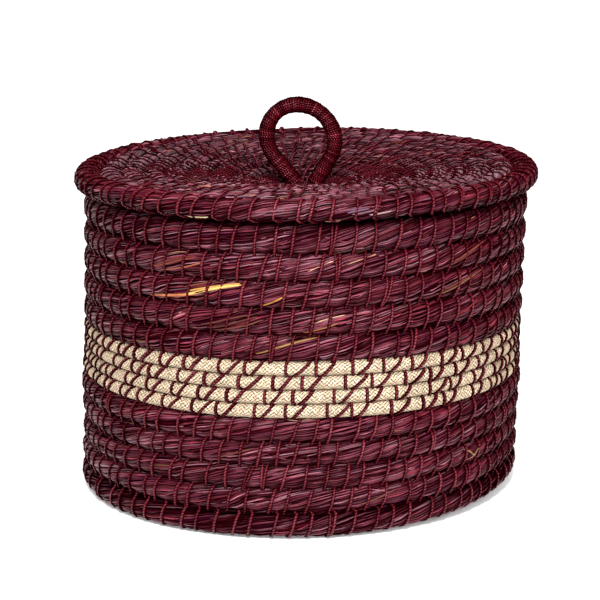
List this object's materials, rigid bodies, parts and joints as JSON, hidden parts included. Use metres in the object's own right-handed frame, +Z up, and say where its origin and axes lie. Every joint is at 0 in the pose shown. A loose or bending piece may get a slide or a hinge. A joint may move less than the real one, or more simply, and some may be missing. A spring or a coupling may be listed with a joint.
{
  "type": "lidded coiled basket",
  "caption": "Round coiled grass basket with dished lift-off lid, thread-wrapped loop handle and a band of natural grass cord round the wall.",
  "frame": {"origin": "centre of the base, on the ground", "axes": "+Z up along the basket's axis, +X across the handle's loop, -Y towards the front"},
  "size_m": [0.2636, 0.2636, 0.2225],
  "materials": {
    "dyed_grass": "dyed dry grass",
    "lid_grass": "dyed dry grass",
    "natural_grass": "natural dry grass",
    "core_grass": "dyed dry grass",
    "wrapping_thread": "waxed thread"
  },
  "bodies": {
    "basket": {"base_coil": "dyed_grass", "lower_wall_coil": "dyed_grass", "natural_band_cord": "natural_grass", "upper_wall_coil": "dyed_grass"},
    "lid": {"lid_coil": "lid_grass", "lid_rim_coil": "lid_grass", "lid_locating_coil": "lid_grass", "handle_core": "core_grass", "handle_wrapping": "wrapping_thread", "handle_tie_coil": "core_grass"}
  },
  "joints": [
    {"name": "lid_lift", "type": "slide", "parent": "basket", "child": "lid", "axis": [0, 0, 1], "range_m": [0, 0.1]}
  ]
}
